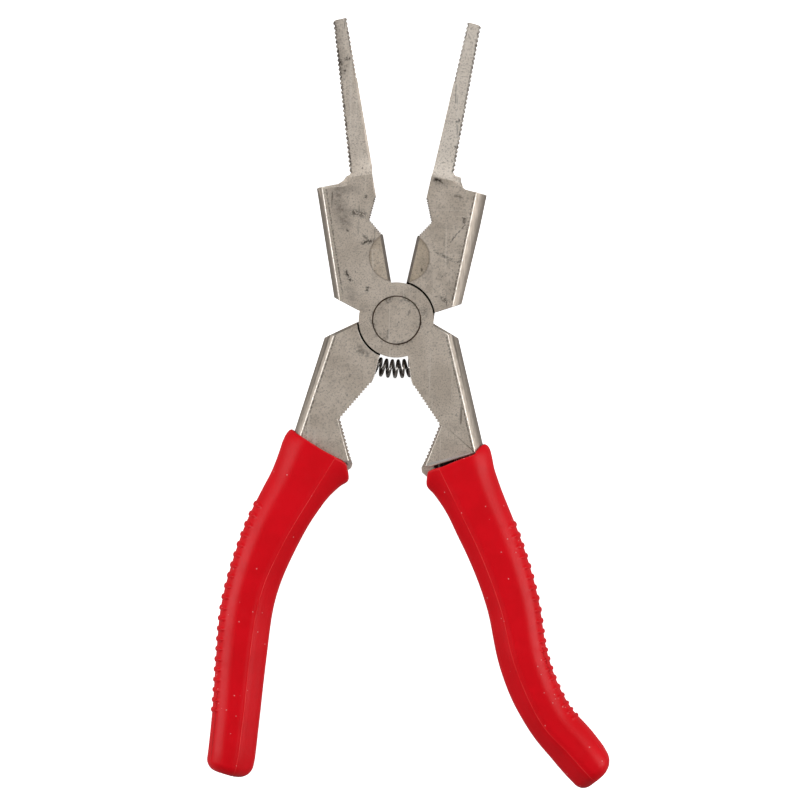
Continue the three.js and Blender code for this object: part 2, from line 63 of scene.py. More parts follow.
def turned(point, mirrored):
    """A point of a lever's closed frame, or arrays of them, in the row frame at rest."""
    x, y = point
    if mirrored:
        x = -x
    turn = math.radians(-HALF_OPENING if mirrored else HALF_OPENING)
    c, s = math.cos(turn), math.sin(turn)
    return (c * x - s * y, s * x + c * y)


# ------------------------------------------------------------------ node helpers


class Nodes:
    """Builds a material's node tree with short calls."""

    def __init__(self, name):
        self.material = bpy.data.materials.new(name)
        self.material.use_nodes = True
        self.tree = self.material.node_tree
        self.tree.nodes.clear()
        self.output = self.new("ShaderNodeOutputMaterial")
        self.coords = self.new("ShaderNodeTexCoord").outputs["Object"]

    def new(self, kind, **settings):
        node = self.tree.nodes.new(kind)
        for key, value in settings.items():
            setattr(node, key, value)
        return node

    def plug(self, socket, value):
        if isinstance(value, bpy.types.NodeSocket):
            self.tree.links.new(value, socket)
        elif value is not None:
            socket.default_value = value

    def maths(self, operation, a, b=None, clamp=False):
        node = self.new("ShaderNodeMath", operation=operation, use_clamp=clamp)
        self.plug(node.inputs[0], a)
        self.plug(node.inputs[1], b)
        return node.outputs[0]

    def product(self, *values):
        made = values[0]
        for value in values[1:]:
            made = self.maths("MULTIPLY", made, value)
        return made

    def most(self, *values):
        made = values[0]
        for value in values[1:]:
            made = self.maths("MAXIMUM", made, value)
        return made

    def vector(self, operation, a, b=None):
        node = self.new("ShaderNodeVectorMath", operation=operation)
        self.plug(node.inputs[0], a)
        self.plug(node.inputs[1], b)
        scalar = operation in ("LENGTH", "DISTANCE", "DOT_PRODUCT")
        return node.outputs["Value" if scalar else "Vector"]

    def part(self, axis):
        node = self.new("ShaderNodeSeparateXYZ")
        self.plug(node.inputs[0], self.coords)
        return node.outputs[axis]

    def noise(self, scale, detail=2.0, roughness=0.5, stretch=(1, 1, 1), shift=(0, 0, 0), turn=0):
        """Noise of a scale per metre, stretched and turned in the row frame if asked."""
        place = self.new("ShaderNodeMapping")
        self.plug(place.inputs["Vector"], self.coords)
        place.inputs["Location"].default_value = shift
        place.inputs["Rotation"].default_value = (0, 0, math.radians(turn))
        place.inputs["Scale"].default_value = stretch
        node = self.new("ShaderNodeTexNoise")
        self.plug(node.inputs["Vector"], place.outputs[0])
        node.inputs["Scale"].default_value = scale
        node.inputs["Detail"].default_value = detail
        node.inputs["Roughness"].default_value = roughness
        return node.outputs["Fac"]

    def cells(self, scale, shift=(0, 0, 0)):
        """Distance to the nearest of a scatter of points, in cell widths, and its colour."""
        place = self.new("ShaderNodeMapping")
        self.plug(place.inputs["Vector"], self.coords)
        place.inputs["Location"].default_value = shift
        node = self.new("ShaderNodeTexVoronoi")
        self.plug(node.inputs["Vector"], place.outputs[0])
        node.inputs["Scale"].default_value = scale
        return node.outputs["Distance"], node.outputs["Color"]

    def ramp(self, value, low, high, to_low=0.0, to_high=1.0):
        """A smooth step from one level to another between low and high."""
        node = self.new("ShaderNodeMapRange", interpolation_type="SMOOTHSTEP")
        self.plug(node.inputs["Value"], value)
        levels = (low, high, to_low, to_high)
        for name, level in zip(("From Min", "From Max", "To Min", "To Max"), levels):
            node.inputs[name].default_value = level
        return node.outputs["Result"]

    def plan(self):
        """The point's place in the plan."""
        return self.vector("MULTIPLY", self.coords, (1, 1, 0))

    def wobbly_plan(self, size):
        """The point's place in the plan, pushed about by noise of a size."""
        field = self.new("ShaderNodeTexNoise")
        self.plug(field.inputs["Vector"], self.coords)
        field.inputs["Scale"].default_value = 900
        field.inputs["Detail"].default_value = 2
        push = self.vector("SUBTRACT", field.outputs["Color"], (0.5, 0.5, 0.5))
        push = self.vector("MULTIPLY", push, (2 * size * MM, 2 * size * MM, 0))
        return self.vector("ADD", self.plan(), push)

    def near(self, plan, start, end, inner, outer):
        """1 within an inner distance of a line in the plan, falling to 0 at an outer one."""
        way = ((end[0] - start[0]) * MM, (end[1] - start[1]) * MM, 0)
        size = way[0] ** 2 + way[1] ** 2
        off = self.vector("SUBTRACT", plan, (start[0] * MM, start[1] * MM, 0))
        if size > 0:
            reach = self.vector("DOT_PRODUCT", off, way)
            share = self.maths("MULTIPLY", reach, 1 / size, clamp=True)
            along = self.new("ShaderNodeCombineXYZ")
            for axis in range(3):
                self.plug(along.inputs[axis], share)
            off = self.vector("SUBTRACT", off, self.vector("MULTIPLY", along.outputs[0], way))
        return self.ramp(self.vector("LENGTH", off), inner * MM, outer * MM, 1.0, 0.0)

    def distance(self, centre):
        """Distance in the plan from a centre."""
        return self.vector("DISTANCE", self.plan(), (centre[0] * MM, centre[1] * MM, 0))

    def ring(self, centre, radius, half_width):
        """1 on a circle in the plan, falling to 0 at a half width from it."""
        distance = self.distance(centre)
        off = self.maths("ABSOLUTE", self.maths("SUBTRACT", distance, radius * MM))
        return self.ramp(off, 0, half_width * MM, 1.0, 0.0)

    def mix(self, share, a, b):
        node = self.new("ShaderNodeMix", data_type="RGBA")
        self.plug(node.inputs["Factor"], share)
        self.plug(node.inputs["A"], a)
        self.plug(node.inputs["B"], b)
        return node.outputs["Result"]

    def bump(self, height, depth):
        """Bump of a height map whose full range is a depth."""
        node = self.new("ShaderNodeBump")
        node.inputs["Strength"].default_value = 1.0
        node.inputs["Distance"].default_value = depth * MM
        self.plug(node.inputs["Height"], height)
        return node.outputs["Normal"]

    def principled(self, colour, roughness, normal, metallic=0.0):
        shader = self.new("ShaderNodeBsdfPrincipled")
        self.plug(shader.inputs["Base Color"], colour)
        self.plug(shader.inputs["Roughness"], roughness)
        self.plug(shader.inputs["Normal"], normal)
        shader.inputs["Metallic"].default_value = metallic
        self.plug(self.output.inputs["Surface"], shader.outputs["BSDF"])
        return shader


def srgb(red, green, blue):
    """A colour given as 0 to 255 display values, as linear RGBA."""

    def linear(value):
        value = value / 255
        return value / 12.92 if value <= 0.04045 else ((value + 0.055) / 1.055) ** 2.4

    return (linear(red), linear(green), linear(blue), 1.0)


# ------------------------------------------------------------------ steel

LIGHT_STEEL = srgb(228, 216, 202)
DULL_STEEL = srgb(206, 194, 180)
STAINED_STEEL = srgb(130, 120, 111)
CLEAN_STEEL = srgb(243, 235, 225)
# A painted highlight colour, for the lines where the flanks and the shank ends catch the light.
HIGHLIGHT_STEEL = srgb(255, 250, 243)
# Darker copies of the face steel for the sides and flanks: painted shade.
SHADED_SIDE_STEEL = srgb(188, 177, 165)
SHADED_DULL_SIDE_STEEL = srgb(166, 156, 145)
# The hollows' warm darker tint: partly their own colour, partly painted shade.
HOLLOW_TINT_AND_SHADE = srgb(186, 168, 140)
# Dark grime, also used as painted shade along the cutting edge and beside the flanks.
GRIME_AND_SHADE = srgb(40, 34, 30)
# Rust round the rivet, also used as painted shade along the hollows' walls.
RUST_AND_WALL_SHADE = srgb(74, 52, 36)
# Painted shade for the gaps between the levers and at the sleeves' mouths.
PAINTED_GAP_SHADE = srgb(14, 12, 11)
STEEL_METALLIC = 0.92


def mottled_steel(n, shift):
    """Ground steel's colour, and the grain that its roughness and bump follow."""
    broad = n.noise(110, 3, 0.6, shift=shift)
    patchy = n.noise(420, 4, 0.65, shift=shift)
    grain = n.noise(2300, 2, 0.7, shift=shift)
    colour = n.mix(n.ramp(broad, 0.35, 0.65), LIGHT_STEEL, DULL_STEEL)
    colour = n.mix(n.ramp(patchy, 0.5, 0.75, 0.0, 0.3), colour, STAINED_STEEL)
    return colour, broad, grain


def masked_lines(n, lines, place):
    """The strongest of several lines, each with a half width and a strength."""
    masks = []
    for start, end, half_width, strength in lines:
        near = n.near(place, start, end, 0.3 * half_width, half_width)
        masks.append(n.maths("MULTIPLY", near, strength))
    return n.most(*masks)


def marks_mask(n, marks, plan, grit):
    """Grime in the marks, each a line with a half width and a strength."""
    clumps = n.ramp(grit, 0.4, 0.53)
    masks = []
    for start, end, half_width, strength in marks:
        near = n.near(plan, start, end, 0.0, 1.15 * half_width)
        masks.append(n.maths("MULTIPLY", near, strength))
    return n.maths("MULTIPLY", n.most(*masks), clumps)


def speckles(n, shift, strength=0.65):
    """Small crisp specks, and a few larger ones."""
    distance, pick = n.cells(400, shift)
    small = n.product(n.ramp(distance, 0.05, 0.08, 1.0, 0.0), n.ramp(pick, 0.6, 0.8))
    distance, pick = n.cells(210, shift)
    large = n.product(n.ramp(distance, 0.05, 0.08, 1.0, 0.0), n.ramp(pick, 0.74, 0.75))
    return n.maths("MULTIPLY", n.most(small, large), strength)


def hairlines(n, seed):
    """Thin dark scratches in a few areas, all near one direction."""
    area = n.ramp(n.noise(120, 2, 0.5, shift=(seed, 0.6, 0)), 0.5, 0.58)
    field = n.noise(700, 2, 0.5, stretch=(1.0, 0.05, 1.0), shift=(0.3, seed, 0), turn=20)
    return n.product(n.ramp(field, 0.66, 0.69), area)


def inside_hollow(n, centre):
    """1 inside the half-moon hollow's circle."""
    return n.ramp(n.distance(centre), (HOLLOW_RADIUS - 0.1) * MM, HOLLOW_RADIUS * MM, 1.0, 0.0)


def clean_nose(n, side, broad):
    """1 on the nose's face, which is cleaner than the jaw's."""
    turn = math.radians(HALF_OPENING)
    along = n.vector("DOT_PRODUCT", n.coords, (side * math.sin(turn), math.cos(turn), 0))
    begun = n.ramp(along, (NOSE_BASE - 0.15) * MM, (NOSE_BASE + 0.15) * MM)
    return n.product(begun, n.ramp(broad, 0.25, 0.75, 1, 0.7))


def stained(n, colour, stains, plan, shift):
    """A colour with broad soft stains, each a line with a half width and a strength."""
    for start, end, half_width, strength in stains:
        soft = n.near(plan, start, end, 0.0, half_width)
        cloud = n.ramp(n.noise(700, 4, 0.75, shift=shift), 0.35, 0.65, 0.35, 1.0)
        colour = n.mix(n.product(soft, cloud, strength), colour, STAINED_STEEL)
    return colour


def face_dirt_and_shade(n, seed, shift, plan, marks, dirt_and_shade_lines):
    """Small specks, short smears and hairlines anywhere, grime in marks, and dark lines that are
    dirt in the roots of the teeth and painted shade along the cutting edge and beside the flanks.
    """
    area = n.ramp(n.noise(95, 2, 0.5, shift=(seed, 0.2, 0)), 0.5, 0.6)
    streaks = n.noise(900, 5, 0.75, stretch=(1.0, 0.6, 1.0), shift=shift)
    smear = n.product(area, n.ramp(streaks, 0.59, 0.65), 0.5)
    dirt_and_shade = n.most(smear, speckles(n, shift), n.maths("MULTIPLY", hairlines(n, seed), 0.5))
    if marks:
        grit = n.noise(1500, 3, 0.7, shift=shift)
        dirt_and_shade = n.most(dirt_and_shade, marks_mask(n, marks, plan, grit))
    # Dark lines: dirt in the roots of the teeth, and painted shade along the cutting edge and
    # beside the flanks.
    if dirt_and_shade_lines:
        broken = n.ramp(n.noise(1300, 3, 0.75, shift=(seed, 0, 0.4)), 0.4, 0.56)
        dirt_and_shade = n.most(dirt_and_shade, n.product(masked_lines(n, dirt_and_shade_lines, n.plan()), broken))
    return dirt_and_shade


def joint_grime_and_shade(n, colour, seed):
    """A colour with rust round the rivet, smudges near it, and painted shade in the curved gap
    between the levers.
    """
    ring = n.ring((0.12, -0.12), RIVET_RADIUS + 0.08, 0.3)
    colour = n.mix(n.ramp(ring, 0.25, 0.7), colour, RUST_AND_WALL_SHADE)
    clouds = n.ramp(n.noise(460, 4, 0.75, shift=(0, seed, 0)), 0.5, 0.64)
    smudge = n.product(n.ring((0.3, -0.3), RIVET_RADIUS, 1.5), clouds, 0.6)
    colour = n.mix(smudge, colour, GRIME_AND_SHADE)
    # Painted shade: the curved gap between the levers is coloured near black below the faces.
    radius = n.vector("LENGTH", n.plan())
    low, high = LEVER_GAP
    between = n.product(
        n.ramp(radius, (low - 0.1) * MM, low * MM),
        n.ramp(radius, high * MM, (high + 0.1) * MM, 1.0, 0.0),
    )
    height_off = n.maths("ABSOLUTE", n.maths("SUBTRACT", n.part("Z"), MIDDLE * MM))
    sunk = n.ramp(height_off, (MIDDLE - 0.35) * MM, (MIDDLE - 0.1) * MM, 1.0, 0.0)
    return n.mix(n.product(between, sunk, 0.96), colour, PAINTED_GAP_SHADE)


def light_scratches(n, shift):
    """Long fine scratches in two directions, lighter than the face."""
    along = n.ramp(n.noise(1000, 2, 0.5, stretch=(1, 0.025, 1), shift=shift, turn=12), 0.64, 0.68)
    across = n.ramp(n.noise(900, 2, 0.5, stretch=(0.03, 1, 1), shift=shift, turn=-25), 0.67, 0.71)
    return n.most(along, n.maths("MULTIPLY", across, 0.7))


def steel_face(
    name, seed, marks=(), stains=(), nose=0.0, side=1, dirt_and_shade_lines=(), painted_highlights=(), gaps=(), hollow=None
):
    """The flat ground faces: mottled, with specks, scratches, smears, grime at the joint, and
    painted shade in the curved gap between the levers.

    Marks, stains, the dark lines, the highlight lines and the gaps are lines with a half width and
    a strength. The dark lines are dirt in the roots of the teeth and painted shade along the
    cutting edge and beside the flanks, the highlight lines are painted highlights, and the gaps
    are painted shadows. Nose is how much cleaner the nose is, and side is the way it leans.
    Hollow is a circle's centre, the strength of the painted shade along its wall and of its tint,
    which is partly the hollow's own warm colour and partly painted shade."""
    n = Nodes(name)
    shift = (seed * 0.37, seed * 0.11, seed * 0.05)
    colour, broad, grain = mottled_steel(n, shift)
    plan = n.wobbly_plan(0.45)
    if nose:
        clean = clean_nose(n, side, broad)
        colour = n.mix(n.maths("MULTIPLY", clean, nose), colour, CLEAN_STEEL)
    if hollow:
        centre, wall_shade, tint = hollow
        # The hollow's own warm colour, laid on more strongly on the rear hollow as painted shade.
        colour = n.mix(n.maths("MULTIPLY", inside_hollow(n, centre), tint), colour, HOLLOW_TINT_AND_SHADE)
    colour = n.mix(n.ramp(grain, 0.47, 0.72, 0.0, 0.55), colour, STAINED_STEEL)
    colour = stained(n, colour, stains, plan, shift)
    dirt_and_shade = face_dirt_and_shade(n, seed, shift, plan, marks, dirt_and_shade_lines)
    colour = n.mix(dirt_and_shade, colour, GRIME_AND_SHADE)
    # Painted highlights along the flank and shank-end lines.
    if painted_highlights:
        highlight_mask = masked_lines(n, painted_highlights, n.plan())
        colour = n.mix(highlight_mask, colour, HIGHLIGHT_STEEL)
    colour = joint_grime_and_shade(n, colour, seed)
    if hollow:
        # Painted shade along the hollow's wall, in the rust colour.
        edge = n.ring(centre, HOLLOW_RADIUS, 0.36)
        colour = n.mix(n.product(edge, wall_shade), colour, RUST_AND_WALL_SHADE)
    # Painted shadows in the gaps at the sleeves' mouths.
    if gaps:
        colour = n.mix(masked_lines(n, gaps, n.plan()), colour, PAINTED_GAP_SHADE)
    scratches = light_scratches(n, shift)
    colour = n.mix(n.maths("MULTIPLY", scratches, 0.35), colour, CLEAN_STEEL)

    roughness = n.maths("ADD", n.ramp(grain, 0.3, 0.8, 0.5, 0.62), n.ramp(broad, 0.3, 0.7, 0, 0.05))
    if nose:
        roughness = n.maths("ADD", roughness, n.maths("MULTIPLY", clean, 0.06 * nose))
    if painted_highlights:
        roughness = n.maths("SUBTRACT", roughness, n.maths("MULTIPLY", highlight_mask, 0.2))
    fine = n.noise(5600, 2, 0.6, shift=shift)
    height = n.maths("ADD", n.maths("MULTIPLY", grain, 0.7), n.maths("MULTIPLY", fine, 0.3))
    height = n.maths("SUBTRACT", height, n.maths("MULTIPLY", scratches, 0.25))
    height = n.maths("SUBTRACT", height, n.maths("MULTIPLY", dirt_and_shade, 0.5))
    n.principled(colour, roughness, n.bump(height, 0.026), metallic=STEEL_METALLIC)
    return n.material


def steel_side(name, seed, painted_highlights=()):
    """The sides and dressed flanks: smoother, with grinding lines along them, in darker copies of
    the face colours that paint shade on them, and with painted highlights where the flanks begin.
    """
    n = Nodes(name)
    shift = (seed * 0.19, seed * 0.31, seed * 0.07)
    lines = n.noise(2600, 2, 0.6, stretch=(1, 0.02, 1), shift=shift)
    patchy = n.noise(300, 4, 0.65, shift=shift)
    grain = n.noise(2600, 2, 0.6, shift=shift)
    # The sides take the darker copies of the face colours, which paint shade on them.
    colour = n.mix(n.ramp(lines, 0.35, 0.7), SHADED_SIDE_STEEL, SHADED_DULL_SIDE_STEEL)
    colour = n.mix(n.ramp(patchy, 0.55, 0.8, 0.0, 0.35), colour, STAINED_STEEL)
    colour = n.mix(n.ramp(grain, 0.6, 0.8, 0.0, 0.4), colour, STAINED_STEEL)
    colour = n.mix(speckles(n, shift, 0.6), colour, GRIME_AND_SHADE)
    roughness = n.ramp(lines, 0.3, 0.7, 0.46, 0.54)
    roughness = n.maths("ADD", roughness, n.ramp(patchy, 0.4, 0.8, 0, 0.08))
    # Painted highlights where the flanks begin.
    if painted_highlights:
        highlight_mask = masked_lines(n, painted_highlights, n.plan())
        colour = n.mix(highlight_mask, colour, HIGHLIGHT_STEEL)
        roughness = n.maths("ADD", roughness, n.maths("MULTIPLY", highlight_mask, 0.15))
    height = n.maths("ADD", n.maths("MULTIPLY", lines, 0.6), n.maths("MULTIPLY", grain, 0.4))
    n.principled(colour, roughness, n.bump(height, 0.012), metallic=STEEL_METALLIC)
    return n.material


def steel_edge(name, seed, dirt_and_shade_lines=()):
    """The broken edges, rubbed bright, with painted shade along the cutting edge."""
    n = Nodes(name)
    shift = (seed * 0.13, seed * 0.23, 0)
    nicks = n.noise(1500, 3, 0.7, shift=shift)
    colour = n.mix(n.ramp(nicks, 0.45, 0.68), CLEAN_STEEL, DULL_STEEL)
    # Painted shade along the cutting edge.
    if dirt_and_shade_lines:
        colour = n.mix(masked_lines(n, dirt_and_shade_lines, n.plan()), colour, GRIME_AND_SHADE)
    n.principled(colour, n.ramp(nicks, 0.3, 0.7, 0.34, 0.5), n.bump(nicks, 0.02), metallic=0.9)
    return n.material


def spring_wire():
    """Drawn spring wire: bright, with draw marks and a dark film between the coils."""
    n = Nodes("spring_wire")
    film = n.ramp(n.noise(900, 3, 0.6), 0.42, 0.62)
    colour = n.mix(film, srgb(196, 192, 188), srgb(96, 92, 88))
    marks = n.noise(9000, 1, 0.5, stretch=(0.3, 1, 1))
    n.principled(colour, n.ramp(film, 0, 1, 0.14, 0.3), n.bump(marks, 0.006), metallic=1.0)
    return n.material


# Grime marks and stains in the row frame at rest: start, end, half width and strength.
FRONT_MARKS = [
    ((-12.2, 28.6), (-9.8, 28.4), 1.5, 0.75),
    ((-9.2, 33.0), (-9.2, 32.8), 0.7, 0.8),
    ((-9.4, 20.5), (-7.0, 21.2), 0.9, 0.9),
    ((-9.2, 22.2), (-8.8, 21.8), 0.8, 0.6),
    ((-14.0, 12.6), (-12.6, 10.4), 0.7, 0.9),
    ((-8.0, 8.4), (-8.2, 7.5), 0.6, 0.9),
    ((-13.8, 23.9), (-13.8, 23.7), 0.5, 0.8),
    ((-15.4, 70.3), (-14.0, 70.8), 0.8, 0.9),
    ((-17.6, 69.7), (-17.0, 68.7), 0.8, 1.0),
    ((-16.9, 66.8), (-15.8, 66.9), 0.4, 0.9),
    ((-15.2, 49.8), (-14.9, 49.5), 0.5, 1.0),
    ((-19.6, 80.4), (-17.2, 61.6), 0.7, 0.8),
    ((-17.2, 61.6), (-14.9, 43.5), 0.45, 0.7),
    ((7.7, 3.1), (7.5, 1.5), 1.4, 0.4),
]
REAR_MARKS = [
    ((9.6, 38.1), (11.0, 37.7), 0.8, 0.95),
    ((14.9, 34.1), (16.7, 33.5), 0.7, 0.6),
    ((17.6, 28.0), (17.5, 26.7), 0.8, 0.75),
    ((9.9, 18.7), (14.5, 16.6), 0.6, 0.6),
    ((15.4, 15.9), (16.8, 16.2), 0.4, 0.8),
    ((12.2, 6.2), (13.0, 5.5), 0.7, 0.7),
    ((13.9, 21.4), (17.8, 26.1), 0.25, 0.7),
    ((6.5, 13.8), (6.6, 13.4), 0.6, 0.8),
    ((19.9, 80.7), (20.5, 80.5), 0.45, 1.0),
    ((16.6, 78.1), (16.6, 77.4), 0.45, 1.0),
    ((20.5, 79.1), (20.4, 78.6), 0.35, 1.0),
    ((14.9, 54.1), (15.4, 54.5), 0.5, 1.0),
    ((17.2, 57.4), (17.2, 56.9), 0.4, 1.0),
    ((14.6, 47.3), (14.7, 47.1), 0.4, 0.9),
    ((20.4, 80.0), (14.9, 42.0), 0.35, 0.5),
    ((-9.8, -8.4), (-7.9, -9.5), 1.3, 0.5),
    ((-9.1, 1.0), (-9.2, -0.3), 0.9, 0.4),
]
RIVET_MARKS = [
    ((-2.9, 5.3), (-2.5, 4.9), 0.8, 0.6),
    ((-2.1, -2.8), (-2.4, -5.1), 0.7, 0.4),
    ((0.9, -4.5), (0.9, -4.4), 0.5, 0.7),
    ((3.0, 1.5), (3.6, 2.6), 0.4, 0.5),
]
FRONT_STAINS = [
    ((-17.0, 33.2), (-14.6, 26.0), 3.6, 0.75),
    ((-12.0, 35.0), (-16.5, 35.2), 2.4, 0.5),
    ((-19.0, 80.0), (-17.2, 66.0), 3.0, 0.6),
    ((-13.0, 8.0), (-12.0, 6.0), 2.4, 0.4),
]
REAR_STAINS = [
    ((9.4, 38.0), (12.0, 37.0), 2.0, 0.5),
    ((7.0, 16.0), (8.0, 12.0), 2.6, 0.35),
]


# ------------------------------------------------------------------ plastic and paper

RED = (srgb(233, 5, 24), srgb(225, 4, 21))  # clear and clouded
# A lighter red for the seam: a painted highlight where its crease catches the light.
SEAM_HIGHLIGHT_RED = (srgb(250, 66, 66), srgb(240, 30, 36))
DUST = srgb(250, 150, 150)


def red_plastic(name, seed, reds=RED):
    """Moulded red plastic: a soft gloss over fine orange peel, dust and handling marks."""
    n = Nodes(name)
    shift = (seed * 0.23, seed * 0.41, 0)
    cloud = n.noise(140, 3, 0.55, shift=shift)
    peel = n.noise(1900, 2, 0.5, shift=shift)
    pores = n.noise(5200, 2, 0.6, shift=shift)
    colour = n.mix(n.ramp(cloud, 0.35, 0.68), *reds)
    distance, pick = n.cells(560, shift)
    patches = n.ramp(n.noise(70, 3, 0.6, shift=(0, seed, 0)), 0.47, 0.6)
    few = n.maths("GREATER_THAN", n.maths("ADD", pick, n.maths("MULTIPLY", patches, 0.5)), 0.82)
    dust = n.product(n.ramp(distance, 0.09, 0.13, 1.0, 0.0), few)
    colour = n.mix(n.maths("MULTIPLY", dust, 0.75), colour, DUST)
    rub = n.ramp(n.noise(240, 4, 0.7, shift=shift), 0.5, 0.72)
    roughness = n.maths("ADD", n.ramp(rub, 0, 1, 0.38, 0.46), n.maths("MULTIPLY", dust, 0.2))
    height = n.maths("ADD", n.maths("MULTIPLY", peel, 0.7), n.maths("MULTIPLY", pores, 0.3))
    height = n.maths("ADD", height, n.maths("MULTIPLY", dust, 0.8))
    shader = n.principled(colour, roughness, n.bump(height, 0.04))
    shader.inputs["Specular IOR Level"].default_value = 0.21
    return n.material


def paper():
    """The pale floor, which glows a little so that it stays even under the tool."""
    n = Nodes("pale_floor")
    tint = n.mix(n.noise(6, 2), srgb(250, 250, 250), srgb(248, 248, 248))
    shader = n.principled(tint, 0.9, None)
    shader.inputs["Emission Color"].default_value = (1, 1, 1, 1)
    shader.inputs["Emission Strength"].default_value = 1.0
    return n.material


# ------------------------------------------------------------------ meshes


def linked(name, data):
    """A new object in the scene."""
    made = bpy.data.objects.new(name, data)
    bpy.context.scene.collection.objects.link(made)
    return made


def mesh_object(name, points, faces, materials):
    """A smooth-shaded mesh of points in metres."""
    mesh = bpy.data.meshes.new(name)
    mesh.from_pydata([tuple(p) for p in points], [], faces)
    mesh.validate()
    for material in materials:
        mesh.materials.append(material)
    mesh.polygons.foreach_set("use_smooth", [True] * len(mesh.polygons))
    return linked(name, mesh)


def tube_faces(rings, sides):
    """Quads between rings of points, and a face over each end."""
    faces = []
    for r in range(rings - 1):
        for c in range(sides):
            d = (c + 1) % sides
            faces.append((r * sides + c, r * sides + d, (r + 1) * sides + d, (r + 1) * sides + c))
    last = (rings - 1) * sides
    faces.append(tuple(range(sides - 1, -1, -1)))
    faces.append(tuple(range(last, last + sides)))
    return faces


def stand_for(node):
    """Hides the CAD node that a piece replaces."""
    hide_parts(node)


FACE, SIDE, EDGE = 0, 1, 2  # material slots of a steel piece
FLAT_FACE_Z = 0.85  # a face whose normal has more of Z than this is a flat face
SHARP = math.radians(25)
SHORTEST_BROKEN = 0.9  # shorter edges, such as the teeth's, stay sharp
STRIP_WIDTH = 0.75  # narrower faces are strips, and their edges stay sharp too
ROOM = 0.45  # an edge is broken only if all the edges that it meets are longer than this


def narrow(face):
    """Whether a face is a narrow strip, such as the flank of a tooth."""
    return face.calc_area() < STRIP_WIDTH * MM * max(edge.calc_length() for edge in face.edges)


def roomy(edge):
    """Whether no short edge meets the edge, so that it can be broken cleanly."""
    others = (other for vert in edge.verts for other in vert.link_edges)
    return all(other.calc_length() > ROOM * MM for other in others)


def to_break(edge):
    """Whether a sharp edge is long, convex and clear of narrow faces and short edges."""
    if edge.calc_length() < SHORTEST_BROKEN * MM or any(narrow(face) for face in edge.link_faces):
        return False
    return edge.is_convex and roomy(edge)


def broken_edges(node, name, materials, width, body):
    """The CAD node's own shape, its flat faces whole and its long sharp edges broken."""
    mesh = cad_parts[node].data.copy()
    mesh.materials.clear()
    for material in materials:
        mesh.materials.append(material)
    bm = bmesh.new()
    bm.from_mesh(mesh)
    bmesh.ops.remove_doubles(bm, verts=bm.verts, dist=1e-6)
    bmesh.ops.dissolve_limit(
        bm, angle_limit=math.radians(0.6), verts=bm.verts, edges=bm.edges, delimit=set()
    )
    bm.normal_update()
    weight = bm.edges.layers.float.new("bevel_weight_edge")
    for face in bm.faces:
        face.smooth = True
        face.material_index = FACE if abs(face.normal.z) > FLAT_FACE_Z else SIDE
    for edge in bm.edges:
        if edge.calc_face_angle(0) < SHARP:
            continue
        if to_break(edge):
            edge[weight] = 1.0
        else:
            edge.smooth = False
    bm.to_mesh(mesh)
    bm.free()
    made = linked(name, mesh)
    bevel = made.modifiers.new("broken_edges", "BEVEL")
    bevel.limit_method = "WEIGHT"
    bevel.width = width * MM
    bevel.segments = 2
    bevel.use_clamp_overlap = False
    bevel.material = EDGE
    made.modifiers.new("flat_faces", "WEIGHTED_NORMAL").keep_sharp = True
    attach(made, body)
    stand_for(node)


# ------------------------------------------------------------------ sleeves

MOUTH_HALF_THICKNESS = 6.6
END_HALF_THICKNESS = 6.1
THINNING = 2.4  # how quickly the sleeve thins below its mouth
RIDGE = 0.62  # where the front turns into the outer slope, as a share of the half width
OUTER_DROP = 4.0
INNER_SLOPE = (0.55, 1.0)  # rise over run of the inner slope at the mouth and further down
INNER_SLOPE_LENGTH = 9.0
ROUNDS = (2.3, 2.6, 1.9, 1.6)  # cuts of the outer, ridge, crease and inner corners
RIB_COUNT = 21
RIB_HALF_WIDTH = 0.7
RIB_HEIGHT = 0.42
RIB_REACH = 0.8  # how far round the side a rib goes, as a share of the half thickness
SEAM_HEIGHT = 0.12
END_ROUND = 3.2  # rounding of the end on the middle line and over the thickness
RIM_DEPTH = 5.0  # how far down the dip of the rim is felt
SLANT_START = 14.0  # before the end, where the slant of the end begins
WALL = 1.25

# Each sleeve in its lever's closed frame: the handle's centre line, rows of (distance from
# the mouth, outer half width, inner half width, distance from the centre line in to the
# seam), the rim's dip as (across, dip) with across positive on the outer side, the first rib
# and the pitch of the ribs, the rounding of the end's outer and inner corner, and its slant.
RIGHT_SLEEVE = {
    "handle": [
        (9.2, -39.8), (11.9, -50.2), (15.8, -65), (18.2, -81),
        (18.8, -97), (22.2, -112.5), (27.6, -122), (33.2, -131.6),
    ],
    "widths": [
        (0, 9.75, 8, 4.9), (1.5, 9.9, 8.9, 4.85), (3.2, 9.65, 9.75, 4.8), (6.5, 8.9, 8.95, 4.7),
        (11, 8.4, 8.1, 4.55), (20, 7.8, 7.9, 4.4), (36, 7.3, 7.25, 3.85), (54, 6.6, 7.05, 3.15),
        (66, 6.4, 6.85, 2.7), (76, 6.75, 6.15, 2.3), (86, 6.85, 6.4, 1.9), (95, 6.4, 6.1, 1.6),
    ],
    "rim": [
        (-9.8, 3.0), (-9.4, 2.4), (-8.9, 1.3), (-8.3, 0.1), (-7, 0), (-4.5, 0.4), (1.9, 0.6),
        (4.5, 0.9), (5.9, 0.9), (7.4, 0.1), (8.8, -0.45), (9.3, -0.5), (9.65, -0.2), (9.8, 0.3),
    ],
    "ribs": (22.6, 2.83),
    "end_rounds": (5.0, 3.2),
    "slant": 0.0,
}
